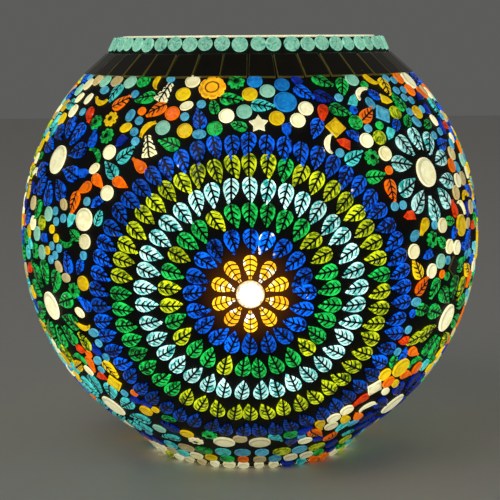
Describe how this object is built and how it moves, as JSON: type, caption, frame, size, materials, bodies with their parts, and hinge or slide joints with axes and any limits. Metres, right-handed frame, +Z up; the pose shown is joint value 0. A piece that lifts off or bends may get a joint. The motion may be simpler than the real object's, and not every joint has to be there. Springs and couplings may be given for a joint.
{
  "type": "mosaic glass table lamp",
  "caption": "Round globe table lamp of blown glass covered with a stained glass mosaic: leaf-ring mandalas, flowers and a disc rim, lit by a small screw bulb inside.",
  "frame": {"origin": "on the surface the lamp stands on, under the globe's centre", "axes": "+Z up out of the mouth, -Y to the front mandala, +Y to the cable hole"},
  "size_m": [0.2302, 0.23, 0.2081],
  "materials": {
    "clear_blown_glass": "blown, polished",
    "black_grout": "trowelled, matt",
    "aqua_mottled_glass": "rolled, mottled",
    "smoked_mirror": "smoked, polished",
    "white_hot_glass": "opal",
    "amber_ribbed_glass": "pressed",
    "cobalt_glass": "pressed",
    "green_glass": "pressed",
    "pale_aqua_glass": "pressed",
    "lime_glass": "pressed",
    "cream_opal_glass": "opal",
    "tan_opal_glass": "opal",
    "sky_glass": "cathedral",
    "turquoise_glass": "pressed",
    "yellow_glass": "cathedral",
    "orange_glass": "cathedral",
    "navy_glass": "pressed",
    "black_rubber": "moulded",
    "brass": "turned",
    "zinc_plated_steel": "plated",
    "dark_bakelite": "moulded",
    "porcelain": "glazed",
    "frosted_bulb_glass": "frosted",
    "aluminium_cap": "rolled thread",
    "black_vitrite": "cast",
    "solder": "soft",
    "clear_stem_glass": "drawn",
    "phosphor_filament": "coated",
    "nickel_wire": "drawn"
  },
  "bodies": {
    "lamp": {"glass_globe": "clear_blown_glass", "grout_coat": "black_grout", "rim_discs": "aqua_mottled_glass", "band_squares": "smoked_mirror", "front_medallion": "white_hot_glass", "front_amber_petals": "amber_ribbed_glass", "front_cobalt_ring_inner": "cobalt_glass", "front_green_ring": "green_glass", "front_aqua_ring": "pale_aqua_glass", "front_lime_ring": "lime_glass", "front_cobalt_ring_outer": "cobalt_glass", "back_medallion": "white_hot_glass", "back_amber_petals": "amber_ribbed_glass", "back_cobalt_ring_inner": "cobalt_glass", "back_green_ring": "green_glass", "back_aqua_ring": "pale_aqua_glass", "back_lime_ring": "lime_glass", "back_cobalt_ring_outer": "cobalt_glass", "flower_discs": "cream_opal_glass", "cobalt_flower_petals": "cobalt_glass", "aqua_flower_petals": "turquoise_glass", "green_flower_petals": "green_glass", "lime_flower_petals": "lime_glass", "navy_flower_petals": "navy_glass", "cream_discs": "cream_opal_glass", "tan_discs": "tan_opal_glass", "aqua_discs": "aqua_mottled_glass", "sky_dots": "sky_glass", "yellow_discs": "yellow_glass", "orange_discs": "orange_glass", "green_leaves": "green_glass", "cobalt_leaves": "cobalt_glass", "heel_discs": "tan_opal_glass", "base_discs": "cream_opal_glass", "foot_pads": "black_rubber", "cable_grommet": "black_rubber", "clamp_nut": "brass", "clamp_washer": "zinc_plated_steel", "cushion_washer": "black_rubber", "threaded_tube": "brass", "holder_base": "dark_bakelite", "holder_skirt": "dark_bakelite", "contact_block": "porcelain", "screw_shell": "brass", "centre_tongue": "brass", "terminal_screws": "brass"},
    "bulb": {"bulb_envelope": "frosted_bulb_glass", "bulb_cap": "aluminium_cap", "bulb_cap_insulator": "black_vitrite", "bulb_cap_contact": "solder", "bulb_stem": "clear_stem_glass", "bulb_filaments": "phosphor_filament", "bulb_wires": "nickel_wire"},
    "shade_ring": {"holder_shade_ring": "dark_bakelite"}
  },
  "joints": [
    {"name": "bulb_lift", "type": "slide", "parent": "lamp", "child": "bulb", "axis": [0, 0, 1], "range_m": [0, 0.18]},
    {"name": "shade_ring_turn", "type": "hinge", "parent": "lamp", "child": "shade_ring", "pos_m": [0, 0, 0.0426], "axis": [0, 0, 1], "range_deg": [0, 720]}
  ]
}
